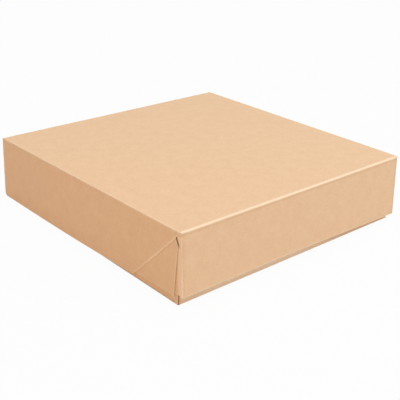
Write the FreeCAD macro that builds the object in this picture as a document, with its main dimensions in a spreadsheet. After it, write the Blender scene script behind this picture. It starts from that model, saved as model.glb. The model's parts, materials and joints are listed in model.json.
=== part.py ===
# Flat square kraft sushi box: a glued tray with a hinged lid, die-cut from one paperboard sheet.
#
# Frame: origin at the middle of the tray's underside, +Z up, the front wall faces -Y and the
# hinge fold runs along X at the back. Millimetres and degrees.
#
# The tray's front, base and back are one folded strip, and the front and back walls turn the
# corners as glue flaps. The side walls fold up from the base's other two edges and lie outside
# those flaps. The lid is the same at its two front corners, and its back edge is the hinge.

import FreeCAD, Part
import math
import os
import Sketcher

DIMENSIONS = [
    ("board", 0.6, "thickness of the paperboard"),
    ("tray_side", 221.6, "outside length and width of the tray"),
    ("closed_height", 50.0, "height of the closed box"),
    ("play", 1.1, "gap between the tray's walls and the lid's walls"),
    ("stack_gap", 0.4, "gap between the tray's rim and the closed lid"),
    ("hinge_gap", 0.15, "slit under the lid's hinge edge"),
    ("hinge_round", 0.29, "radius of the two edges of the lid's hinge edge"),
    ("fold_radius", 1.0, "outside radius of the folds of the front and back walls"),
    ("side_radius", 0.5, "outside radius of the folds of the side walls"),
    ("root_radius", 0.8, "outside radius of a wall's corner beside its panel"),
    ("rim_radius", 1.2, "outside radius of a wall's corner at its rim"),
    ("bead_leg", 0.7, "reach along each panel of the bead that a fold raises on its inside"),
    ("bead_radius", 0.55, "radius of that bead"),
    ("bead_end", 1.6, "how far a side fold's bead stops short of the corners"),
    ("flare", 2.8, "angle by which the lid's front wall springs outwards, degrees"),
    ("side_bow", 1.6, "how far the lid's side walls bow outwards at their rim, one and two "
     "thirds of the way along their free length"),
    ("rear_spring", 0.9, "how far they stand out at the rear end of that rim"),
    ("opening", 1.1, "angle by which the lid stands ajar at rest, degrees"),
    ("front_depth", 46.2, "depth of the lid's front wall at its middle and -X end"),
    ("front_dip", 2.2, "extra depth of that wall at its +X end"),
    ("side_depth", 49.6, "depth of the lid's side walls behind their diagonals"),
    ("stiff_length", 52.0, "length from the corner over which a glued web keeps them straight"),
    ("web_depth", 47.4, "depth of a glued web of the lid at its diagonal"),
    ("web_end_depth", 46.9, "depth of a glued web of the lid at its cut edge"),
    ("tray_web_step", 1.0, "drop of the tray's rim on its glued webs"),
    ("tray_cut_back", 0.9, "cut edge of a web of the tray beside the base, from the corner"),
    ("fold_start", 1.0, "where the fold of a side wall of the lid begins, from the corner"),
    ("notch", 4.8, "where the relief notch of the lid's webs meets the diagonal, from the corner"),
    ("nose_back", 2.1, "cut edge of a web of the lid at its nose, from the corner"),
    ("nose_depth", 10.4, "the nose's distance from the panel that the web hangs on"),
    ("taper_back", 5.4, "a web's cut edge at its rim, from the corner"),
    ("web_spring", 3.4, "angle by which the lid's webs spring off their flaps, degrees"),
    ("glue_nose", 9.0, "where a web's glue begins at the height of its nose, from the corner"),
    ("glue_rim", 9.5, "where a web's glue begins at its rim, from the corner"),
    ("flap_reach", 30.0, "length of a glue flap round the corner"),
    ("flap_lead", 4.5, "how far a flap's slanted edge keeps from the diagonal at its end"),
    ("flap_root", 2.4, "length of a flap at its root and above its rim"),
    ("flap_gap", 1.4, "a flap's root, from the outside of the panel beside it"),
    ("flap_trim", 1.0, "how far a flap stops short of the rim"),
    ("ridge_width", 1.0, "width of the raised ridge of a diagonal fold"),
    ("ridge_height", 0.18, "height of that ridge"),
    ("rear_round", 3.0, "radius of the free lower corner of the lid's side walls"),
    ("overcut", 1.0, "how far a cutting outline reaches past the board"),
]


def fill_sheet(doc):
    """Keep the driving dimensions in a spreadsheet, one alias a row."""
    sheet = doc.addObject("Spreadsheet::Sheet", "dims")
    for row, (alias, value, meaning) in enumerate(DIMENSIONS, start=1):
        sheet.set(f"A{row}", meaning)
        sheet.set(f"B{row}", str(value))
        sheet.setAlias(f"B{row}", alias)
    doc.recompute()


def origin_plane(body, role):
    """One of the body's own origin planes, such as YZ_Plane."""
    return next(item for item in body.Origin.OriginFeatures if item.Role == role)


def new_sketch(body, name, role, offset=None):
    """An empty sketch on an origin plane of the body, moved along its normal by an expression."""
    sketch = body.newObject("Sketcher::SketchObject", name)
    sketch.AttachmentSupport = [(origin_plane(body, role), "")]
    sketch.MapMode = "FlatFace"
    if offset:
        sketch.setExpression("AttachmentOffset.Base.z", offset)
    return sketch


def arc_between(start, end, radius, leftward):
    """The shorter arc of a radius from start to end, which turns left or right on its way."""
    chord = end - start
    rise = math.sqrt(radius ** 2 - (chord.Length / 2) ** 2) * (1 if leftward else -1)
    centre = (start + end) / 2 + FreeCAD.Vector(-chord.y, chord.x, 0).normalize() * rise
    first, last = [math.atan2(place.y - centre.y, place.x - centre.x) for place in (start, end)]
    if not leftward:
        first, last = last, first
    return Part.ArcOfCircle(Part.Circle(centre, FreeCAD.Vector(0, 0, 1), radius), first, last)


def add_dimension(sketch, expression, kind, *places):
    """Dimension a sketch by an expression."""
    value = sketch.evalExpression(expression)
    index = sketch.addConstraint(Sketcher.Constraint(kind, *places, value))
    sketch.setExpression(f"Constraints[{index}]", expression)


def draw_outline(sketch, corners, arcs=None):
    """Add a closed outline whose corners are pairs of expressions.

    Its edges are straight, but for those in arcs, which gives by the number of an edge's first
    corner its radius and whether it turns left.
    """
    arcs = arcs or {}
    first = sketch.GeometryCount
    places = [FreeCAD.Vector(*[sketch.evalExpression(value) for value in corner], 0)
              for corner in corners]
    ends = []
    for number, start in enumerate(places):
        end = places[(number + 1) % len(places)]
        if number in arcs:
            radius, leftward = arcs[number]
            sketch.addGeometry(
                arc_between(start, end, float(sketch.evalExpression(radius)), leftward))
            add_dimension(sketch, radius, "Radius", first + number)
            ends.append((1, 2) if leftward else (2, 1))
        else:
            sketch.addGeometry(Part.LineSegment(start, end))
            ends.append((1, 2))
    for number, (across, along) in enumerate(corners):
        following = (number + 1) % len(corners)
        sketch.addConstraint(Sketcher.Constraint(
            "Coincident", first + number, ends[number][1], first + following, ends[following][0]))
        add_dimension(sketch, across, "DistanceX", -1, 1, first + number, ends[number][0])
        add_dimension(sketch, along, "DistanceY", -1, 1, first + number, ends[number][0])


def add_pad(body, sketch, length, midplane=False):
    """Pad a sketch along its normal, or half to each side of its plane."""
    pad = body.newObject("PartDesign::Pad", sketch.Name + "_pad")
    pad.Profile = sketch
    pad.setExpression("Length", length)
    pad.Midplane = midplane
    pad.Refine = True
    return pad


def add_cut(body, sketch, length=None):
    """Cut a sketch along its normal, or through the whole body to both sides of its plane."""
    cut = body.newObject("PartDesign::Pocket", sketch.Name + "_cut")
    cut.Profile = sketch
    if length:
        cut.setExpression("Length", length)
        cut.Reversed = True
    else:
        cut.Type = "ThroughAll"
        cut.Midplane = True
    cut.Refine = True
    return cut


def add_loft(body, name, sketches, ruled=True):
    """Join like outlines, with straight rulings between neighbours or in one smooth curve."""
    loft = body.newObject("PartDesign::AdditiveLoft", name)
    loft.Profile = sketches[0]
    loft.Sections = sketches[1:]
    loft.Ruled = ruled
    loft.Refine = True
    return loft


def add_fillet(body, name, radius, wanted):
    """Round the edges of the body's last feature that the test picks by their two ends."""
    body.Document.recompute()
    base = body.Tip
    picked = []
    for number, edge in enumerate(base.Shape.Edges, start=1):
        ends = [vertex.Point for vertex in edge.Vertexes]
        if len(ends) == 2 and wanted(*ends):
            picked.append(f"Edge{number}")
    fillet = body.newObject("PartDesign::Fillet", name)
    fillet.Base = (base, picked)
    fillet.setExpression("Radius", radius)
    fillet.Refine = True
    body.Document.recompute()


def add_mirror(body, features):
    """Repeat features on the other side of the body's YZ plane."""
    mirror = body.newObject("PartDesign::Mirrored", body.Name + "_mirror")
    mirror.Originals = features
    mirror.MirrorPlane = (origin_plane(body, "YZ_Plane"), [""])
    mirror.Refine = True
    body.Tip = mirror
    body.Document.recompute()


def add_turned_wall(body, name, corner, inward, levels):
    """Loft a front or back wall whose ends turn both corners and run on as flaps.

    corner is the X of the flaps' outer faces and inward the sign of Y towards the box's middle.
    levels gives, for the root and the rim, the height, the Y of the wall's outer face and the
    outside radius of the corners.
    """
    sketches = []
    for level, (height, face, radius) in zip(("root", "rim"), levels):
        half = [
            (f"({corner} - {radius})", "0"),
            (corner, radius),
            (corner, "dims.flap_reach"),
            (f"({corner} - dims.board)", "dims.flap_reach"),
            (f"({corner} - dims.board)", radius),
            (f"({corner} - {radius})", "dims.board"),
        ]
        whole = half + [(f"-{across}", along) for across, along in reversed(half)]
        inside = f"{radius} - dims.board"
        leftward = inward == "+"
        arcs = {0: (radius, leftward), 4: (inside, not leftward),
                6: (inside, not leftward), 10: (radius, leftward)}
        sketch = new_sketch(body, f"{name}_{level}", "XY_Plane", height)
        draw_outline(sketch, [(across, f"{face} {inward} {along}") for across, along in whole], arcs)
        sketches.append(sketch)
    add_loft(body, name, sketches)


def add_fold_bead(body, name, corner, level, below, centre, length):
    """Raise the bead inside a side wall's fold.

    corner is the X of the wall's inner face, level the Z of the panel's inner face and below
    whether the wall hangs under the panel. centre is the Y of the bead's middle.
    """
    towards, back = ("-", "+") if below else ("+", "-")
    sketch = new_sketch(body, name, "XZ_Plane", f"-({centre})")
    draw_outline(sketch, [
        (f"{corner} - dims.bead_leg", level),
        (corner, f"{level} {towards} dims.bead_leg"),
        (f"{corner} + dims.board / 2", f"{level} {towards} dims.bead_leg"),
        (f"{corner} + dims.board / 2", f"{level} {back} dims.board / 2"),
        (f"{corner} - dims.bead_leg", f"{level} {back} dims.board / 2"),
    ], {0: ("dims.bead_radius", below)})
    return add_pad(body, sketch, length, midplane=True)


def add_ridge(body, name, side, start, turn, length):
    """Raise the ridge of a diagonal fold on a side wall's outer face.

    side is the X of that face, start the (y, z) where the diagonal leaves its corner, and
    turn the angle about X that points the pad along the diagonal.
    """
    sketch = new_sketch(body, name, "XY_Plane")
    sketch.AttachmentOffset = FreeCAD.Placement(
        FreeCAD.Vector(), FreeCAD.Rotation(FreeCAD.Vector(1, 0, 0), turn))
    sketch.setExpression("AttachmentOffset.Base.y", start[0])
    sketch.setExpression("AttachmentOffset.Base.z", start[1])
    foot = f"{side} - dims.board / 2"
    crown = "((dims.ridge_width ^ 2 / 4 + dims.ridge_height ^ 2) / (2 * dims.ridge_height))"
    draw_outline(sketch, [
        (foot, "-dims.ridge_width / 2"),
        (side, "-dims.ridge_width / 2"),
        (side, "dims.ridge_width / 2"),
        (foot, "dims.ridge_width / 2"),
    ], {1: (crown, True)})
    return add_pad(body, sketch, length)


def same(first, second, slack=0.02):
    """Whether two coordinates agree."""
    return abs(first - second) < slack


def make_tray(doc):
    """The tray: a folded strip, turned end walls, and side walls glued outside their flaps."""
    body = doc.addObject("PartDesign::Body", "tray")
    body.Label = "tray"
    half = "dims.tray_side / 2"
    inside = "(dims.tray_side / 2 - dims.board)"
    rim = "(dims.closed_height - dims.board - dims.stack_gap)"
    hinge_rim = "(dims.closed_height - dims.board - dims.hinge_gap)"
    bead_top = "dims.board + dims.bead_leg"

    # base with the roots of the front and back walls, and a bead inside each fold
    strip = new_sketch(body, "tray_strip", "YZ_Plane")
    draw_outline(strip, [
        (f"-{half}", "dims.flap_gap"),
        (f"-{half}", "0"),
        (half, "0"),
        (half, "dims.flap_gap"),
        (inside, "dims.flap_gap"),
        (inside, bead_top),
        (f"{inside} - dims.bead_leg", "dims.board"),
        (f"-({inside} - dims.bead_leg)", "dims.board"),
        (f"-{inside}", bead_top),
        (f"-{inside}", "dims.flap_gap"),
    ], {5: ("dims.bead_radius", True), 7: ("dims.bead_radius", True)})
    add_pad(body, strip, "dims.tray_side - 2 * dims.board", midplane=True)
    side = doc.dims.tray_side / 2
    add_fillet(body, "tray_folds", "dims.fold_radius",
               lambda a, b: same(a.z, 0) and same(b.z, 0) and same(abs(a.y), side) and same(a.y, b.y))

    # front and back walls, whose ends turn the corners as glue flaps
    for name, outward, inward, height in (("front", "-", "+", rim), ("back", "", "-", hinge_rim)):
        add_turned_wall(body, f"tray_{name}", inside, inward, [
            ("dims.flap_gap", f"{outward}{half}", "dims.root_radius"),
            (height, f"{outward}{half}", "dims.rim_radius")])

    # the flaps are cut back along the diagonals and under the rim
    cuts = new_sketch(body, "tray_flap_outline", "YZ_Plane")
    for end in ("-", ""):
        root = f"{end}({half} - dims.flap_root)"
        tip = f"{end}({half} - dims.flap_reach)"
        past = f"{end}({half} - dims.flap_reach - dims.overcut)"
        draw_outline(cuts, [
            (root, "dims.flap_gap"), (tip, "dims.flap_reach + dims.flap_lead"),
            (past, "dims.flap_reach + dims.flap_lead"), (past, "dims.flap_gap")])
        draw_outline(cuts, [
            (root, f"{rim} - dims.flap_trim"), (root, "dims.closed_height"),
            (past, "dims.closed_height"), (past, f"{rim} - dims.flap_trim")])
    add_cut(body, cuts)

    # side wall whose webs have a cut edge that tapers to a lower rim
    wall = new_sketch(body, "tray_side_wall", "YZ_Plane", inside)
    web_rim = f"({rim} - dims.tray_web_step)"
    front_end = [
        (f"-{half} + dims.tray_cut_back", "0"),
        (f"-{half} + dims.tray_cut_back", "dims.nose_depth"),
        (f"-{half} + dims.taper_back", web_rim),
        (f"-{half} + {web_rim}", web_rim),
        (f"-{half} + {rim}", rim),
    ]
    back_end = [(f"-({across})", height) for across, height in reversed(front_end)]
    draw_outline(wall, front_end + back_end)
    features = [add_pad(body, wall, "dims.board")]
    features.append(add_fold_bead(
        body, "tray_side_bead", inside, "dims.board", False, "0", "dims.tray_side - 2 * dims.bead_end"))

    # ridges of the diagonal folds, from the base's corners up to the rim
    diagonal = f"({rim} - dims.tray_cut_back - dims.tray_web_step) * sqrt(2)"
    for name, end, turn in (("tray_front_ridge", "-", -45), ("tray_back_ridge", "", 45)):
        start = (f"{end}({half} - dims.tray_cut_back)", "dims.tray_cut_back")
        features.append(add_ridge(body, name, half, start, turn, diagonal))
    add_mirror(body, features)
    add_fillet(body, "tray_side_folds", "dims.side_radius",
               lambda a, b: same(a.z, 0) and same(b.z, 0) and same(abs(a.x), side) and same(a.x, b.x))
    return body


def make_lid(doc):
    """The lid, drawn closed from its hinge axis and then turned about it to stand ajar."""
    body = doc.addObject("PartDesign::Body", "lid")
    body.Label = "lid"
    half_width = "(dims.tray_side / 2 + dims.play + dims.board)"
    corner = "(dims.tray_side / 2 + dims.play)"
    reach = "(dims.tray_side + dims.play + dims.board / 2)"
    top = "dims.board / 2"
    full_depth = "(dims.front_depth + dims.front_dip)"

    def behind_front(depth, back="0"):
        """The Y of a place so far behind the outer face of the flared front wall at a depth."""
        return f"{back} - {reach} - {depth} * tan(dims.flare * 1deg)"

    half = doc.dims.tray_side / 2 + doc.dims.play + doc.dims.board
    front = doc.dims.tray_side + doc.dims.play + doc.dims.board / 2
    upper = doc.dims.board / 2

    # top panel with the root of the front wall and a bead inside their fold; the hinge edge is round
    strip = new_sketch(body, "lid_strip", "YZ_Plane")
    draw_outline(strip, [
        ("0", top),
        (f"-{reach}", top),
        (behind_front("dims.flap_gap"), f"{top} - dims.flap_gap"),
        (behind_front("dims.flap_gap", "dims.board"), f"{top} - dims.flap_gap"),
        (behind_front("(dims.board + dims.bead_leg)", "dims.board"), f"-{top} - dims.bead_leg"),
        (f"dims.board + dims.bead_leg - {reach}", f"-{top}"),
        ("0", f"-{top}"),
    ], {4: ("dims.bead_radius", True)})
    add_pad(body, strip, f"2 * {corner}", midplane=True)
    add_fillet(body, "lid_hinge_edge", "dims.hinge_round",
               lambda a, b: same(a.y, 0) and same(b.y, 0) and same(a.z, b.z))
    add_fillet(body, "lid_fold", "dims.fold_radius",
               lambda a, b: same(a.y, -front) and same(b.y, -front) and same(a.z, b.z))

    # front wall, whose ends turn the corners as glue flaps; its rim dips towards the +X corner
    add_turned_wall(body, "lid_front", corner, "+", [
        (f"{top} - dims.flap_gap", behind_front("dims.flap_gap"), "dims.root_radius"),
        (f"{top} - {full_depth}", behind_front(full_depth), "dims.rim_radius")])
    rim = new_sketch(body, "lid_rim_dip", "XZ_Plane")
    below = f"{top} - {full_depth} - dims.overcut"
    draw_outline(rim, [
        (f"-{half_width}", f"{top} - dims.front_depth"),
        ("0", f"{top} - dims.front_depth"),
        (f"{corner} - dims.rim_radius", f"{top} - {full_depth}"),
        (f"{corner} - dims.rim_radius", below),
        (f"-{half_width}", below),
    ])
    add_cut(body, rim)

    # the flaps are cut back along the diagonals and above the rim
    cuts = new_sketch(body, "lid_flap_outline", "YZ_Plane")
    tip_depth = "(dims.flap_reach + dims.flap_lead)"
    rim_depth = "(dims.front_depth - dims.flap_trim)"
    past = f"dims.flap_reach + dims.overcut - {reach}"
    draw_outline(cuts, [
        (behind_front("dims.flap_gap", "dims.flap_root"), f"{top} - dims.flap_gap"),
        (behind_front(tip_depth, "dims.flap_reach"), f"{top} - {tip_depth}"),
        (past, f"{top} - {tip_depth}"),
        (past, f"{top} - dims.flap_gap")])
    draw_outline(cuts, [
        (behind_front(rim_depth, "dims.flap_root"), f"{top} - {rim_depth}"),
        (behind_front(rim_depth, "dims.flap_root"), below),
        (past, below),
        (past, f"{top} - {rim_depth}")])
    add_cut(body, cuts)

    # side wall: relief notch, shallower web, and a stiff length held by the glued flap
    wall = new_sketch(body, "lid_side_wall", "YZ_Plane", corner)
    draw_outline(wall, [
        (f"-{reach} + dims.fold_start", top),
        (f"-{reach} + dims.notch", f"{top} - dims.notch"),
        (f"-{reach} + dims.glue_nose", f"{top} - dims.nose_depth"),
        (f"-{reach} + dims.glue_rim", f"{top} - dims.web_end_depth"),
        (f"-{reach} + dims.web_depth", f"{top} - dims.web_depth"),
        (f"-{reach} + dims.side_depth", f"{top} - dims.side_depth"),
        (f"-{reach} + dims.stiff_length", f"{top} - dims.side_depth"),
        (f"-{reach} + dims.stiff_length", top),
    ])
    features = [add_pad(body, wall, "dims.board")]

    # behind that length the wall is free: it stays upright beside the panel's edge, and below it
    # bows outwards on the way to the hinge
    sections = []
    free_length = f"({top} + {reach} - dims.stiff_length)"
    for name, share, spring in (("stiff_end", "1", "0"), ("first_third", "2 / 3", "dims.side_bow"),
                                ("second_third", "1 / 3", "dims.side_bow"),
                                ("rear_end", "0", "dims.rear_spring")):
        section = new_sketch(body, f"lid_{name}", "XZ_Plane", f"{share} * {free_length} - {top}")
        draw_outline(section, [
            (corner, f"{top} - dims.board"),
            (corner, top),
            (half_width, top),
            (f"{half_width} + {spring}", f"{top} - dims.side_depth"),
            (f"{corner} + {spring}", f"{top} - dims.side_depth")])
        sections.append(section)
    features.append(add_loft(body, "lid_sprung_wall", sections, ruled=False))

    # in front of the glue the web springs off its flap, up to a tapered cut edge
    sections = []
    for name, depth, cut_edge, glue in (
            ("notch", "dims.notch", "dims.fold_start", "dims.notch"),
            ("nose", "dims.nose_depth", "dims.nose_back", "dims.glue_nose"),
            ("web_rim", "dims.web_end_depth", "dims.taper_back", "dims.glue_rim")):
        lift = f"({glue} - {cut_edge}) * tan(dims.web_spring * 1deg)"
        section = new_sketch(body, f"lid_{name}", "XY_Plane", f"{top} - {depth}")
        draw_outline(section, [
            (corner, f"-{reach} + {glue}"),
            (half_width, f"-{reach} + {glue}"),
            (f"{half_width} + {lift}", f"-{reach} + {cut_edge}"),
            (f"{corner} + {lift}", f"-{reach} + {cut_edge}")])
        sections.append(section)
    features.append(add_loft(body, "lid_sprung_web", sections))
    relief = new_sketch(body, "lid_relief", "YZ_Plane", corner)
    draw_outline(relief, [
        (f"-{reach} + dims.notch", f"{top} - dims.notch"),
        (f"-{reach} + dims.nose_back", f"{top} - dims.nose_depth"),
        (f"-{reach} + dims.nose_back - dims.overcut", f"{top} - dims.nose_depth"),
        (f"-{reach} + dims.fold_start - dims.overcut", f"{top} - dims.notch")])
    features.append(add_cut(body, relief, "dims.board + dims.overcut"))

    # bead inside the side wall's fold, and the diagonal fold's ridge down to the rim
    features.append(add_fold_bead(
        body, "lid_side_bead", corner, f"-{top}", True, f"-{reach} / 2", f"{reach} - 2 * dims.bead_end"))
    start = (f"-{reach} + dims.notch", f"{top} - dims.notch")
    features.append(add_ridge(
        body, "lid_ridge", half_width, start, -135, "(dims.web_depth - dims.notch) * sqrt(2)"))
    add_mirror(body, features)

    rear_rim = upper - doc.dims.side_depth
    add_fillet(body, "lid_side_folds", "dims.side_radius",
               lambda a, b: same(a.z, upper) and same(b.z, upper)
               and same(abs(a.x), half) and same(a.x, b.x))
    add_fillet(body, "lid_rear_corners", "dims.rear_round",
               lambda a, b: same(a.y, upper) and same(b.y, upper)
               and same(a.z, rear_rim) and same(b.z, rear_rim))

    # the hinge axis lies in the middle of the board, over the tray's back wall
    body.Placement = FreeCAD.Placement(
        FreeCAD.Vector(), FreeCAD.Rotation(FreeCAD.Vector(-1, 0, 0), doc.dims.opening))
    body.setExpression("Placement.Base.y", "dims.tray_side / 2 - dims.board / 2")
    body.setExpression("Placement.Base.z", "dims.closed_height - dims.board / 2")
    body.setExpression("Placement.Rotation.Angle", "dims.opening * 1deg")
    return body


def export(doc, bodies):
    """Refuse a failed document, then write each sub-part to its own STEP file."""
    doc.recompute()
    for item in doc.Objects:
        if {"Invalid", "Error"} & set(item.State):
            raise RuntimeError(f"{item.Label} failed: {item.State}")
    for body in bodies:
        shape = body.Shape
        if shape.isNull() or not shape.isValid() or len(shape.Solids) != 1:
            raise RuntimeError(f"{body.Label} is not one valid solid")
    os.makedirs("parts", exist_ok=True)
    for body in bodies:
        body.Shape.exportStep(f"parts/{body.Label}.step")
        box = body.Shape.optimalBoundingBox(False, False)
        print(f"{body.Label}: volume {body.Shape.Volume:.0f} mm3, "
              f"x {box.XMin:.2f} to {box.XMax:.2f}, y {box.YMin:.2f} to {box.YMax:.2f}, "
              f"z {box.ZMin:.2f} to {box.ZMax:.2f}")


document = FreeCAD.newDocument("sushi_box")
fill_sheet(document)
export(document, [make_tray(document), make_lid(document)])
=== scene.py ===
import json
import math
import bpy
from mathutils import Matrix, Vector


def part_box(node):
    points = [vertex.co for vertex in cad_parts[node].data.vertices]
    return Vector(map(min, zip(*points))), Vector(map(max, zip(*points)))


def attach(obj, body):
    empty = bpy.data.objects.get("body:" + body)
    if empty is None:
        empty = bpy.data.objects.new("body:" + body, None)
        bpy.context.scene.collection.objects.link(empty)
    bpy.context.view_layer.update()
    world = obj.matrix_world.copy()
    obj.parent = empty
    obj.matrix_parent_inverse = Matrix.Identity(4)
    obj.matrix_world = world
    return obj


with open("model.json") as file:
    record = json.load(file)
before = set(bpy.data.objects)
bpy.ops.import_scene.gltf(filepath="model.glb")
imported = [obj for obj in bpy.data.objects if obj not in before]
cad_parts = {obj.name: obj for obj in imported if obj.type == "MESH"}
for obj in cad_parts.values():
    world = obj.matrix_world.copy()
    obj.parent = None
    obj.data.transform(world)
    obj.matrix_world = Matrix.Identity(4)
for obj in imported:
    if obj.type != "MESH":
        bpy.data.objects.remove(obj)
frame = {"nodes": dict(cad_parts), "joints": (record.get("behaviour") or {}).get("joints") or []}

from types import SimpleNamespace

import bpy
from mathutils import Matrix, Quaternion, Vector

bpy.context.view_layer.update()


# ---------------------------------------------------------------------------------------------
# The tray: the lower half of the box. One die-cut blank of unbleached kraft board, scored,
# folded up on four sides and glued at its corners, where a web of each side wall lies over a
# flap that is turned round from the front or back wall.

board_thickness = 0.6   # mm; the corner folds lie as far inside the side walls' outer faces
tray_width = 221.6      # outside width and length of the tray, mm


def linear(code):
    """A hex sRGB colour such as "#C8A27A" as linear red, green, blue and alpha."""
    shares = [int(code[place:place + 2], 16) / 255 for place in (1, 3, 5)]
    return [s / 12.92 if s <= 0.04045 else ((s + 0.055) / 1.055) ** 2.4 for s in shares] + [1.0]


def add_node(tree, kind, feeds=None, **settings):
    """Adds a node with its settings, feeds its sockets with values or other nodes' outputs, and
    gives back its own outputs."""
    made = tree.nodes.new("ShaderNode" + kind)
    for name, value in settings.items():
        setattr(made, name, value)
    for socket, feed in (feeds or {}).items():
        if isinstance(feed, bpy.types.NodeSocket):
            tree.links.new(feed, made.inputs[socket])
        else:
            made.inputs[socket].default_value = feed
    return made.outputs


def find_place(tree, corner, tilt, width, length, flare):
    """Where a point lies on one half of the set-up box, in millimetres, and which way its face
    looks. y counts from the front fold and depth from the panel's outer face down the walls."""
    at = SimpleNamespace()
    spot = add_node(tree, "TexCoord")
    place = add_node(tree, "Mapping", {
        "Vector": spot["Object"], "Location": corner, "Rotation": (tilt, 0, 0),
        "Scale": (0.001, 0.001, 0.001)}, vector_type="TEXTURE")[0]
    at.x, at.y, z = add_node(tree, "SeparateXYZ", {0: place})
    x_size = add_node(tree, "Math", {0: at.x}, operation="ABSOLUTE")[0]
    x_sign = add_node(tree, "Math", {0: at.x}, operation="SIGN")[0]
    at.depth = add_node(tree, "Math", {0: z}, operation="ABSOLUTE")[0]
    at.side_gap = add_node(tree, "Math", {0: width / 2, 1: x_size}, operation="SUBTRACT")[0]
    at.back_gap = add_node(tree, "Math", {0: length, 1: at.y}, operation="SUBTRACT")[0]
    at.flared_y = add_node(tree, "Math", {
        0: at.depth, 1: math.tan(flare), 2: at.y}, operation="MULTIPLY_ADD")[0]
    at.corner_gap = add_node(tree, "Math", {
        0: at.side_gap, 1: board_thickness}, operation="SUBTRACT")[0]

    # a face is a side, a front or a panel when it looks that way by more than this share
    square_on = 0.6
    nx, ny, nz = add_node(tree, "SeparateXYZ", {0: spot["Normal"]})
    at.sideways = add_node(tree, "Math", {0: nx}, operation="ABSOLUTE")[0]
    endways = add_node(tree, "Math", {0: ny}, operation="ABSOLUTE")[0]
    upwards = add_node(tree, "Math", {0: nz}, operation="ABSOLUTE")[0]
    at.on_side = add_node(tree, "Math", {0: at.sideways, 1: square_on}, operation="GREATER_THAN")[0]
    at.on_front = add_node(tree, "Math", {0: endways, 1: square_on}, operation="GREATER_THAN")[0]
    at.on_panel = add_node(tree, "Math", {0: upwards, 1: square_on}, operation="GREATER_THAN")[0]
    at.on_wall = add_node(tree, "Math", {0: upwards, 1: square_on}, operation="LESS_THAN")[0]

    # inner faces of walls look towards the middle of the box, which is at least 20 mm away, and
    # those of the panel lie deeper than half the board
    middle = add_node(tree, "VectorMath", {
        0: place, 1: (0, length / 2, 0)}, operation="SUBTRACT")[0]
    middle = add_node(tree, "VectorMath", {0: middle, 1: (1, 1, 0)}, operation="MULTIPLY")[0]
    facing = add_node(tree, "VectorMath", {
        0: middle, 1: spot["Normal"]}, operation="DOT_PRODUCT")[1]
    at.inner_wall = add_node(tree, "Math", {0: facing, 1: -20.0}, operation="LESS_THAN")[0]
    below_skin = add_node(tree, "Math", {
        0: at.depth, 1: board_thickness / 2}, operation="GREATER_THAN")[0]
    inner_panel = add_node(tree, "Math", {0: at.on_panel, 1: below_skin}, operation="MULTIPLY")[0]
    at.inner = add_node(tree, "Math", {0: at.inner_wall, 1: inner_panel}, operation="MAXIMUM")[0]

    # the blank laid flat: walls unfold outwards, so fibres run on over the folds, and the inner
    # side of the sheet has fibres of its own
    side_run = add_node(tree, "Math", {0: at.depth, 1: at.on_side}, operation="MULTIPLY")[0]
    flat_x = add_node(tree, "Math", {0: x_sign, 1: side_run, 2: at.x}, operation="MULTIPLY_ADD")[0]
    toward = add_node(tree, "Math", {0: at.y, 1: length / 2}, operation="SUBTRACT")[0]
    end_sign = add_node(tree, "Math", {0: toward}, operation="SIGN")[0]
    front_run = add_node(tree, "Math", {0: at.depth, 1: at.on_front}, operation="MULTIPLY")[0]
    flat_y = add_node(tree, "Math", {
        0: end_sign, 1: front_run, 2: at.y}, operation="MULTIPLY_ADD")[0]
    under = add_node(tree, "Math", {0: at.inner, 1: 90.0}, operation="MULTIPLY")[0]
    at.sheet = add_node(tree, "CombineXYZ", {0: flat_x, 1: flat_y, 2: under})[0]
    return at


def lay_pulp(tree, at):
    """Adds what the pulp gives the sheet: cloudy formation, felted fibres and specks of bark."""
    # formation: the pulp lies unevenly, in clouds about 9 mm and 2 mm across
    at.clouds = add_node(tree, "TexNoise", {
        "Vector": at.sheet, "Scale": 1 / 9, "Detail": 2.0, "Roughness": 0.55})[0]
    at.floc = add_node(tree, "TexNoise", {
        "Vector": at.sheet, "Scale": 1 / 2.0, "Detail": 2.0, "Roughness": 0.6})[0]

    # fibres are 3 mm long and 0.04 mm thick; drawn 5 mm by 0.5 mm so that they show
    at.felt = None
    for turn, start, share in ((8, 0, 1.0), (-17, 31, 0.9), (34, 67, 0.7), (-52, 93, 0.6)):
        laid = add_node(tree, "Mapping", {
            "Vector": at.sheet, "Location": (start, start / 2, 0),
            "Rotation": (0, 0, math.radians(turn)), "Scale": (1 / 5.0, 1 / 0.5, 1)})[0]
        threads = add_node(tree, "TexNoise", {
            "Vector": laid, "Scale": 1.0, "Detail": 1.0, "Roughness": 0.4, "Distortion": 0.4})[0]
        shown = add_node(tree, "MapRange", {
            "Value": threads, "From Min": 0.52, "From Max": 0.72, "To Min": 0.0, "To Max": share},
            interpolation_type="SMOOTHSTEP")[0]
        at.felt = shown if at.felt is None else add_node(
            tree, "Math", {0: at.felt, 1: shown}, operation="MAXIMUM")[0]

    # shives: specks of bark 0.5 mm across, in under half of the cells, which are 9 mm across
    cells = add_node(tree, "TexVoronoi", {"Vector": at.sheet, "Scale": 1 / 9, "Randomness": 1.0})
    speck = add_node(tree, "MapRange", {
        "Value": cells["Distance"], "From Min": 0.045, "From Max": 0.02,
        "To Min": 0.0, "To Max": 1.0})[0]
    chosen = add_node(tree, "SeparateColor", {0: cells["Color"]})[0]
    chosen = add_node(tree, "Math", {0: chosen, 1: 0.55}, operation="GREATER_THAN")[0]
    at.speck = add_node(tree, "Math", {0: speck, 1: chosen}, operation="MULTIPLY")[0]


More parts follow.
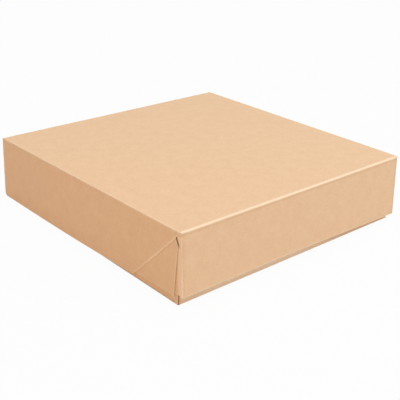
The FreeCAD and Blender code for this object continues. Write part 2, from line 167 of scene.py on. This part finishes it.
def stretch_folds(tree, at, crossfold, rear_webs, painted_foot_light):
    """Adds where folding and handling have stretched and rubbed the board light, with painted
    highlights on folds, crests and flap roots and painted light on the tray's foot, and the painted
    shade of the grooves that the scoring rule has pressed beside the folds."""
    # back, side and corner folds: each is light within its width in mm, partly from stretched
    # fibres and partly as a painted highlight, with a fibrous edge that wanders by 0.25 mm; on the
    # corner folds the painted highlight, with their rubbing, grows towards the rim
    ragged = add_node(tree, "MapRange", {
        "Value": at.floc, "From Min": 0.3, "From Max": 0.7, "To Min": -0.25, "To Max": 0.25})[0]
    corner_rub_and_highlight = add_node(tree, "MapRange", {
        "Value": at.depth, "From Min": 12.0, "From Max": 34.0, "To Min": 0.3, "To Max": 0.85})[0]
    at.light = None
    for across, along, wide, strength in (
            (at.back_gap, at.depth, 1.3, crossfold * 0.6), (at.side_gap, at.depth, 1.6, 0.3),
            (at.corner_gap, at.flared_y, 1.2, corner_rub_and_highlight), (at.corner_gap, at.back_gap, 1.2, corner_rub_and_highlight)):
        both = add_node(tree, "CombineXYZ", {0: across, 1: along, 2: 0.0})[0]
        away = add_node(tree, "VectorMath", {0: both}, operation="LENGTH")[1]
        away = add_node(tree, "Math", {0: away, 1: ragged}, operation="ADD")[0]
        line = add_node(tree, "MapRange", {
            "Value": away, "From Min": wide, "From Max": wide * 0.45,
            "To Min": 0.0, "To Max": strength}, interpolation_type="SMOOTHSTEP")[0]
        at.light = line if at.light is None else add_node(
            tree, "Math", {0: at.light, 1: line}, operation="MAXIMUM")[0]

    # front fold: plies stretched over 2.5 mm of the panel and 1 mm of the wall, lightened partly
    # for the stretch and partly as a painted highlight, and under them the painted shade of the
    # score's groove, 1.2 mm wide
    over_front = add_node(tree, "Math", {0: at.flared_y, 1: at.depth}, operation="SUBTRACT")[0]
    over_front = add_node(tree, "Math", {0: over_front, 1: ragged}, operation="ADD")[0]
    not_side = add_node(tree, "Math", {0: 1.0, 1: at.on_side}, operation="SUBTRACT")[0]
    rise = add_node(tree, "MapRange", {
        "Value": over_front, "From Min": -1.1, "From Max": -0.4,
        "To Min": 0.0, "To Max": crossfold}, interpolation_type="SMOOTHSTEP")[0]
    fall = add_node(tree, "MapRange", {
        "Value": over_front, "From Min": 0.5, "From Max": 2.7, "To Min": 1.0, "To Max": 0.0},
        interpolation_type="SMOOTHSTEP")[0]
    line = add_node(tree, "Math", {0: rise, 1: fall}, operation="MULTIPLY")[0]
    line = add_node(tree, "Math", {0: line, 1: not_side}, operation="MULTIPLY")[0]
    at.light = add_node(tree, "Math", {0: at.light, 1: line}, operation="MAXIMUM")[0]
    groove = add_node(tree, "Math", {0: over_front, 1: 2.1}, operation="ADD")[0]
    groove = add_node(tree, "Math", {0: groove}, operation="ABSOLUTE")[0]
    groove = add_node(tree, "MapRange", {
        "Value": groove, "From Min": 1.1, "From Max": 0.3, "To Min": 0.0, "To Max": 0.5},
        interpolation_type="SMOOTHSTEP")[0]
    at.groove = add_node(tree, "Math", {0: groove, 1: at.on_front}, operation="MULTIPLY")[0]

    # foot of the front wall: painted light over 5 mm, which lifts the shade under the other half's
    # rim, most of all round a place 35 mm left of the middle
    foot_light_mask = add_node(tree, "Math", {0: at.x, 1: 35.0}, operation="ADD")[0]
    foot_light_mask = add_node(tree, "Math", {0: foot_light_mask}, operation="ABSOLUTE")[0]
    foot_light_mask = add_node(tree, "MapRange", {
        "Value": foot_light_mask, "From Min": 95.0, "From Max": 40.0, "To Min": 0.0, "To Max": painted_foot_light},
        interpolation_type="SMOOTHSTEP")[0]
    foot = add_node(tree, "MapRange", {
        "Value": at.depth, "From Min": 9.0, "From Max": 5.0, "To Min": 0.0, "To Max": 1.0})[0]
    outer_front = add_node(tree, "Math", {0: at.flared_y, 1: 0.3}, operation="LESS_THAN")[0]
    for share in (foot, outer_front, at.on_front):
        foot_light_mask = add_node(tree, "Math", {0: foot_light_mask, 1: share}, operation="MULTIPLY")[0]
    at.light = add_node(tree, "Math", {0: at.light, 1: foot_light_mask}, operation="MAXIMUM")[0]

    # diagonal scores of the side walls: the crest carries a painted highlight, partly rubbing, that
    # is stronger in places and wanders by 0.8 mm; the painted shade of its groove lies beside it
    wander = add_node(tree, "TexNoise", {
        "Vector": at.sheet, "Scale": 1 / 5.0, "Detail": 2.0, "Roughness": 0.6})[0]
    wander = add_node(tree, "MapRange", {
        "Value": wander, "From Min": 0.3, "From Max": 0.7, "To Min": -0.8, "To Max": 0.8})[0]
    crest_highlight = add_node(tree, "MapRange", {
        "Value": at.clouds, "From Min": 0.35, "From Max": 0.6, "To Min": 0.15, "To Max": 0.6})[0]
    for reach in (at.y, at.back_gap) if rear_webs else (at.y,):
        skew = add_node(tree, "Math", {0: reach, 1: at.depth}, operation="SUBTRACT")[0]
        skew = add_node(tree, "Math", {0: skew, 1: wander}, operation="ADD")[0]
        crest = add_node(tree, "Math", {0: skew}, operation="ABSOLUTE")[0]
        crest = add_node(tree, "Math", {0: crest, 1: ragged}, operation="ADD")[0]
        line = add_node(tree, "MapRange", {
            "Value": crest, "From Min": 1.1, "From Max": 0.3, "To Min": 0.0, "To Max": crest_highlight},
            interpolation_type="SMOOTHSTEP")[0]
        line = add_node(tree, "Math", {0: line, 1: at.on_side}, operation="MULTIPLY")[0]
        at.light = add_node(tree, "Math", {0: at.light, 1: line}, operation="MAXIMUM")[0]
        hollow_shade = add_node(tree, "Math", {0: skew, 1: 1.5}, operation="ADD")[0]
        hollow_shade = add_node(tree, "Math", {0: hollow_shade}, operation="ABSOLUTE")[0]
        line = add_node(tree, "MapRange", {
            "Value": hollow_shade, "From Min": 0.9, "From Max": 0.3, "To Min": 0.0, "To Max": 0.6},
            interpolation_type="SMOOTHSTEP")[0]
        line = add_node(tree, "Math", {0: line, 1: at.on_side}, operation="MULTIPLY")[0]
        at.groove = add_node(tree, "Math", {0: at.groove, 1: line}, operation="MAXIMUM")[0]

    # the root of the front flap, up to the web's cut edge, is painted light, for the light its turn
    # towards the front would catch
    root_painted_light = add_node(tree, "MapRange", {
        "Value": at.flared_y, "From Min": 5.0, "From Max": 3.0, "To Min": 0.0, "To Max": 0.55})[0]
    on_flap = add_node(tree, "Math", {0: at.corner_gap}, operation="ABSOLUTE")[0]
    on_flap = add_node(tree, "Math", {0: on_flap, 1: 0.35}, operation="LESS_THAN")[0]
    for share in (on_flap, at.on_wall):
        root_painted_light = add_node(tree, "Math", {0: root_painted_light, 1: share}, operation="MULTIPLY")[0]
    at.light = add_node(tree, "Math", {0: at.light, 1: root_painted_light}, operation="MAXIMUM")[0]


def bow_walls(tree, at):
    """The soft bends that the folds leave in the walls, as a height in millimetres that only
    turns the shading."""
    # front corners: the board turns round them in a soft bend that the fold's edge only marks,
    # so the last 5 mm of the wall and of the flap lean towards each other, by 1.25 mm
    beyond = add_node(tree, "Math", {0: at.corner_gap, 1: at.flared_y}, operation="MAXIMUM")[0]
    bend = add_node(tree, "MapRange", {
        "Value": beyond, "From Min": 0.0, "From Max": 5.0, "To Min": 5.0, "To Max": 0.0})[0]
    bend = add_node(tree, "Math", {0: bend, 1: bend}, operation="MULTIPLY")[0]
    bend = add_node(tree, "Math", {0: bend, 1: -1 / 20}, operation="MULTIPLY")[0]
    under_web = add_node(tree, "Math", {0: at.corner_gap, 1: -0.35}, operation="GREATER_THAN")[0]
    outer_wall = add_node(tree, "Math", {0: at.on_wall, 1: at.inner_wall}, operation="SUBTRACT")[0]
    for share in (under_web, outer_wall):
        bend = add_node(tree, "Math", {0: bend, 1: share}, operation="MULTIPLY")[0]

    # side walls: behind the flap's root they bulge by almost a millimetre between fold and rim
    # and roll into their fold over 1.6 mm
    bulge = add_node(tree, "Math", {0: at.depth, 1: 25.0}, operation="SUBTRACT")[0]
    bulge = add_node(tree, "Math", {0: bulge, 1: bulge}, operation="MULTIPLY")[0]
    bulge = add_node(tree, "Math", {0: bulge, 1: -1 / 700}, operation="MULTIPLY")[0]
    roll = add_node(tree, "MapRange", {
        "Value": at.depth, "From Min": 0.0, "From Max": 1.6, "To Min": 1.6, "To Max": 0.0})[0]
    roll = add_node(tree, "Math", {0: roll, 1: roll}, operation="MULTIPLY")[0]
    bulge = add_node(tree, "Math", {0: roll, 1: -0.19, 2: bulge}, operation="MULTIPLY_ADD")[0]
    on_web = add_node(tree, "MapRange", {
        "Value": at.flared_y, "From Min": 3.0, "From Max": 6.0, "To Min": 0.0, "To Max": 1.0})[0]
    on_web = add_node(tree, "Math", {0: on_web, 1: at.on_side}, operation="MULTIPLY")[0]
    return add_node(tree, "Math", {0: bulge, 1: on_web, 2: bend}, operation="MULTIPLY_ADD")[0]


def paint_seam_shade(tree, at, seam_start, seam_slope):
    """Painted shade on the flap along a web's cut edge, over the upper 10 mm, for the dark gap
    under the web. The edge lies seam_start from the front fold and comes nearer to it by seam_slope
    with depth."""
    edge = add_node(tree, "Math", {
        0: at.depth, 1: -seam_slope, 2: seam_start}, operation="MULTIPLY_ADD")[0]
    beside = add_node(tree, "Math", {0: at.flared_y, 1: edge}, operation="SUBTRACT")[0]
    beside = add_node(tree, "MapRange", {
        "Value": beside, "From Min": -0.9, "From Max": -0.5, "To Min": 0.0, "To Max": 1.0})[0]
    shallow = add_node(tree, "MapRange", {
        "Value": at.depth, "From Min": 9.0, "From Max": 11.5, "To Min": 1.0, "To Max": 0.0})[0]
    seam_shade = add_node(tree, "MapRange", {
        "Value": at.side_gap, "From Min": 0.25, "From Max": 0.35, "To Min": 0.0, "To Max": 1.0})[0]
    for share in (beside, shallow, at.on_wall):
        seam_shade = add_node(tree, "Math", {0: seam_shade, 1: share}, operation="MULTIPLY")[0]
    for value, limit in ((at.corner_gap, 0.3), (at.flared_y, 8.0)):
        near = add_node(tree, "Math", {0: value, 1: limit}, operation="LESS_THAN")[0]
        seam_shade = add_node(tree, "Math", {0: seam_shade, 1: near}, operation="MULTIPLY")[0]
    return seam_shade


def cut_board(tree, at):
    """The raw cut edges of rims, webs and flaps, where the pale core of the board shows. Their
    arrises and those of the rounded folds are lightened over 1.2 mm, partly frayed fibres and
    partly a painted highlight, which is added to the stretched folds."""
    # a rim lies level, 5 mm or more from the panel, and a web's edge looks forward or back
    rim = add_node(tree, "Math", {0: at.depth, 1: 5.0}, operation="GREATER_THAN")[0]
    rim = add_node(tree, "Math", {0: rim, 1: at.on_panel}, operation="MULTIPLY")[0]
    end_grain = add_node(tree, "Math", {0: at.sideways, 1: 0.3}, operation="LESS_THAN")[0]
    in_side = add_node(tree, "Math", {
        0: at.side_gap, 1: board_thickness * 0.97}, operation="LESS_THAN")[0]
    past_fold = add_node(tree, "Math", {0: at.depth, 1: 1.0}, operation="GREATER_THAN")[0]
    web_edge = add_node(tree, "Math", {0: end_grain, 1: in_side}, operation="MULTIPLY")[0]
    web_edge = add_node(tree, "Math", {0: web_edge, 1: past_fold}, operation="MULTIPLY")[0]
    cut = add_node(tree, "Math", {0: rim, 1: web_edge}, operation="MAXIMUM")[0]

    # an arris is where the direction of a rounded edge leaves the face's own
    rounded = add_node(tree, "Bevel", {"Radius": 0.0012}, samples=6)[0]
    sharp = add_node(tree, "NewGeometry")["Normal"]
    frayed_and_highlit = add_node(tree, "VectorMath", {0: rounded, 1: sharp}, operation="DOT_PRODUCT")[1]
    frayed_and_highlit = add_node(tree, "MapRange", {
        "Value": frayed_and_highlit, "From Min": 0.998, "From Max": 0.92, "To Min": 0.0, "To Max": 0.8})[0]
    frayed_and_highlit = add_node(tree, "Math", {0: frayed_and_highlit, 1: past_fold}, operation="MULTIPLY")[0]
    at.light = add_node(tree, "Math", {0: at.light, 1: frayed_and_highlit}, operation="MAXIMUM")[0]
    return cut


def kraft_board(name, corner, tilt, width, length, flare, crossfold, rear_webs, painted_foot_light,
                seam_start, seam_slope):
    """Kraft paperboard, unbleached, machine finished outside and rougher inside.

    It gives the eye an even warm tan with cloudy formation, fine felted fibres that run mostly
    along the sheet, lighter stretched fibres with painted highlights on the folds, painted shade
    in the score grooves and along the seams, and pale raw cut edges. corner is the
    sharp outer corner of the front fold at the middle of the box and tilt the turn of the part
    about X, so that y counts millimetres from that fold and z from the panel's outer face.
    flare is the lean of the front wall, crossfold says how light its fold is stretched and painted,
    scuff how much painted light lifts the shade at its foot, and rear_webs whether the side walls
    have a diagonal score at the back too.
    seam_start and seam_slope place the web's cut edge, as paint_seam_shade says.
    """
    material = bpy.data.materials.new(name)
    material.use_nodes = True
    tree = material.node_tree
    tree.nodes.clear()
    at = find_place(tree, corner, tilt, width, length, flare)
    lay_pulp(tree, at)
    stretch_folds(tree, at, crossfold, rear_webs, painted_foot_light)
    bow = bow_walls(tree, at)
    seam_shade = paint_seam_shade(tree, at, seam_start, seam_slope)
    cut = cut_board(tree, at)

    # colour: clouds move it between two tans and flocs darken it; then fibres lift it, shives
    # darken it, and inside and cut edges take their own tones; folds take a pale tone that is
    # partly painted highlight, and grooves and seam a painted shade
    cloudy = add_node(tree, "MapRange", {
        "Value": at.clouds, "From Min": 0.3, "From Max": 0.7, "To Min": 0.0, "To Max": 1.0})[0]
    flocked = add_node(tree, "MapRange", {
        "Value": at.floc, "From Min": 0.35, "From Max": 0.75, "To Min": 0.0, "To Max": 0.15})[0]
    colour = linear("#E4BE97")
    for shown, share, tone in (
            (cloudy, None, "#E8C49E"), (flocked, None, "#C99A6C"), (at.felt, 0.16, "#F7DDBD"),
            (at.speck, 0.35, "#8C6239"), (at.inner, 0.35, "#D2A77C"), (at.light, None, "#FBE3C6"),
            (cut, 0.7, "#EBCDA8"), (at.groove, 0.42, "#BF9264"), (seam_shade, 0.72, "#6E4827")):
        if share is not None:
            shown = add_node(tree, "Math", {0: shown, 1: share}, operation="MULTIPLY")[0]
        colour = add_node(tree, "MixRGB", {
            "Fac": shown, "Color1": colour, "Color2": linear(tone)})[0]

    # finish: calendered outside, matt inside, on the folds and on the cut edges
    worn = add_node(tree, "Math", {0: at.inner, 1: at.light}, operation="MAXIMUM")[0]
    worn = add_node(tree, "Math", {0: worn, 1: cut}, operation="MAXIMUM")[0]
    rough = add_node(tree, "MapRange", {
        "Value": at.floc, "From Min": 0.3, "From Max": 0.7, "To Min": 0.62, "To Max": 0.72})[0]
    rough = add_node(tree, "Math", {0: worn, 1: 0.2, 2: rough}, operation="MULTIPLY_ADD")[0]

    # relief: the walls' soft bends, in millimetres, and fibres that stand up by 0.02 mm
    turned = add_node(tree, "Bump", {"Strength": 1.0, "Distance": 0.001, "Height": bow})[0]
    fibres = add_node(tree, "Math", {0: at.felt, 1: 0.6, 2: at.floc}, operation="MULTIPLY_ADD")[0]
    grain = add_node(tree, "Bump", {
        "Strength": 0.5, "Distance": 0.00002, "Height": fibres, "Normal": turned})[0]

    shader = add_node(tree, "BsdfPrincipled", {
        "Base Color": colour, "Roughness": rough, "IOR": 1.5, "Normal": grain})[0]
    add_node(tree, "OutputMaterial", {"Surface": shader})
    return material


tray_kraft = kraft_board(
    "kraft_paperboard_tray", corner=(0, -tray_width / 2000, 0), tilt=0, width=tray_width,
    length=tray_width, flare=0, crossfold=0.35, rear_webs=True, painted_foot_light=0.55,
    seam_start=0.8, seam_slope=0.0)
tray = frame["nodes"]["tray"]
tray.data.materials.clear()
tray.data.materials.append(tray_kraft)


# ---------------------------------------------------------------------------------------------
# The lid: the upper half of the same blank, folded down over the tray. It hangs on the tray's
# back wall by a scored fold and stands a little ajar, because the board springs back. Its front
# fold carries a stronger painted highlight than the tray's, over its stretched plies.

lid_width = 225.0      # outside width of the lid, mm
lid_length = 223.3     # from the lid's front fold to its hinge edge, mm
lid_flare = 2.8        # the front wall springs outwards by this angle, degrees
hinge = next(joint for joint in frame["joints"] if joint["name"] == "lid_hinge")
ajar = math.radians(-hinge["range_deg"][0])
hinge_pin = Vector(hinge["pos_m"])
# the hinge pin lies in the middle of the board's thickness, the front fold on its outer face
front_fold = hinge_pin + Matrix.Rotation(-ajar, 3, "X") @ Vector((
    0, -(lid_length - board_thickness / 2) / 1000, board_thickness / 2000))
lid_kraft = kraft_board(
    "kraft_paperboard_lid", corner=front_fold, tilt=-ajar, width=lid_width, length=lid_length,
    flare=math.radians(lid_flare), crossfold=0.75, rear_webs=False, painted_foot_light=0.0,
    seam_start=7.1, seam_slope=0.48)
lid = frame["nodes"]["lid"]
lid.data.materials.clear()
lid.data.materials.append(lid_kraft)


# ---------------------------------------------------------------------------------------------
# The hinge fold: the scored strip of board that joins the lid to the tray's back wall. The score
# squeezes the plies, so a soft bead stands out on the inside and the outside stays smooth.

bead_width = 0.7       # of the bead inside the fold, mm
bead_height = 0.3      # how far it stands off the inside of the back wall, mm
bead_drop = 0.3        # how far its middle lies under the top of the wall, mm
fold_length = (tray_width - 4 * board_thickness) / 1000     # two boards off each side, m
back_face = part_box("tray")[1].y
wall_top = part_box("tray")[1].z
bpy.ops.object.select_all(action="DESELECT")
bpy.ops.mesh.primitive_cube_add(
    size=1, location=(0, back_face - board_thickness / 2000, (wall_top + hinge_pin.z) / 2),
    scale=(fold_length, board_thickness / 1000, hinge_pin.z - wall_top))
hinge_fold = bpy.context.object
hinge_fold.name = "hinge_fold"
bpy.ops.object.mode_set(mode="EDIT")
bpy.ops.mesh.select_mode(type="FACE")
bpy.ops.mesh.select_all(action="SELECT")
bpy.ops.mesh.subdivide(number_cuts=2)
bpy.ops.object.mode_set(mode="OBJECT")
bpy.ops.object.select_all(action="DESELECT")

# the bead, with soft ends, is half sunk in the strip and joined to it
bead_place = back_face - (board_thickness + bead_height - bead_width / 2) / 1000
bpy.ops.mesh.primitive_cylinder_add(
    vertices=16, radius=bead_width / 2000, depth=fold_length,
    location=(0, bead_place, wall_top - bead_drop / 1000),
    rotation=(0, math.radians(90), 0), end_fill_type="TRIFAN")
bpy.ops.object.mode_set(mode="EDIT")
bpy.ops.mesh.select_all(action="SELECT")
bpy.ops.mesh.bevel(offset=0.0001, segments=2)
bpy.ops.object.mode_set(mode="OBJECT")
hinge_fold.select_set(True)
bpy.context.view_layer.objects.active = hinge_fold
bpy.ops.object.join()
bpy.ops.object.transform_apply(location=True, rotation=True, scale=True)
bpy.ops.object.shade_smooth_by_angle(angle=math.radians(40))
hinge_fold.data.materials.append(tray_kraft)
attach(hinge_fold, "tray")


# ---------------------------------------------------------------------------------------------
# The studio: a white table in a white room, a soft lamp in front, a cooler one overhead, and a
# low warm lamp on the left that stands in for light thrown back by a wooden bench.

aim_height = 0.03      # the lamps point at the middle of the box, this high over the table, m
table_white_share = 0.96    # of the table that looks white; the rest keeps the box's faint shadow
room_light = 0.44      # strength of the room's own light, where 1 is white

bpy.ops.mesh.primitive_plane_add(size=6, location=(0, 0, 0))
table_top = bpy.context.object
table_top.name = "table_top"
table_paint = bpy.data.materials.new("matt_white_emulsion")
table_paint.use_nodes = True
tree = table_paint.node_tree
tree.nodes.clear()
path = add_node(tree, "LightPath")
# matt emulsion paint, rolled on: an even grey-white, mottled 60 times to the metre
mottle = add_node(tree, "TexNoise", {
    "Vector": add_node(tree, "TexCoord")["Object"], "Scale": 60.0, "Detail": 2.0})[0]
paint = add_node(tree, "MixRGB", {
    "Fac": mottle, "Color1": linear("#CFCFCF"), "Color2": linear("#D3D3D3")})[0]
matt = add_node(tree, "BsdfDiffuse", {"Color": paint})[0]
glow = add_node(tree, "Emission", {"Color": (1, 1, 1, 1), "Strength": 1.0})[0]
seen = path["Is Camera Ray"]
for ray in ("Is Glossy Ray", "Is Transmission Ray"):
    seen = add_node(tree, "Math", {0: seen, 1: path[ray]}, operation="MAXIMUM")[0]
seen = add_node(tree, "Math", {0: seen, 1: table_white_share}, operation="MULTIPLY")[0]
both = add_node(tree, "MixShader", {0: seen, 1: matt, 2: glow})[0]
add_node(tree, "OutputMaterial", {"Surface": both})
table_top.data.materials.append(table_paint)

room = bpy.data.worlds.new("white_room")
bpy.context.scene.world = room
room.use_nodes = True
tree = room.node_tree
tree.nodes.clear()
path = add_node(tree, "LightPath")
shown = path["Is Camera Ray"]
for ray in ("Is Glossy Ray", "Is Transmission Ray"):
    shown = add_node(tree, "Math", {0: shown, 1: path[ray]}, operation="MAXIMUM")[0]
level = add_node(tree, "MapRange", {"Value": shown, "To Min": room_light, "To Max": 1.0})[0]
sky = add_node(tree, "Background", {"Color": (1, 1, 1, 1), "Strength": level})[0]
add_node(tree, "OutputWorld", {"Surface": sky})

# lamps: place and side length in metres, power in watts, tint
for name, spot, size, power, tint in (
        ("key_lamp", (0.60, -1.38, 0.80), 1.0, 9.8, "#FFFFFF"),
        ("top_lamp", (0.10, -0.10, 1.75), 0.9, 12.5, "#F6FCFF"),
        ("bench_glow", (-1.22, -0.44, 0.50), 0.9, 5.5, "#FFC786")):
    lamp_data = bpy.data.lights.new(name, "AREA")
    lamp_data.shape = "SQUARE"
    lamp_data.size = size
    lamp_data.energy = power
    lamp_data.color = linear(tint)[:3]
    lamp = bpy.data.objects.new(name, lamp_data)
    lamp.location = spot
    lamp.rotation_mode = "QUATERNION"
    lamp_aim = Vector((0, 0, aim_height)) - Vector(spot)
    lamp.rotation_quaternion = lamp_aim.to_track_quat("-Z", "Y")
    bpy.context.scene.collection.objects.link(lamp)

# the camera looks from 42 degrees left of the box's front and 24 degrees above it, turned on
# its own axis by camera_roll
camera_roll = math.radians(2.488)
camera_data = bpy.data.cameras.new("camera")
camera_data.sensor_width = 36
camera_data.lens = 73.904
camera = bpy.data.objects.new("camera", camera_data)
camera.location = (-0.41180, -0.45769, 0.28540)
camera_aim = Vector((-0.02683, -0.03508, 0.02544)) - camera.location
camera.rotation_mode = "QUATERNION"
camera.rotation_quaternion = (
    camera_aim.to_track_quat("-Z", "Y") @ Quaternion((0, 0, 1), camera_roll))
bpy.context.scene.collection.objects.link(camera)
bpy.context.scene.camera = camera

bpy.context.scene.view_settings.view_transform = "Standard"

bpy.context.view_layer.update()
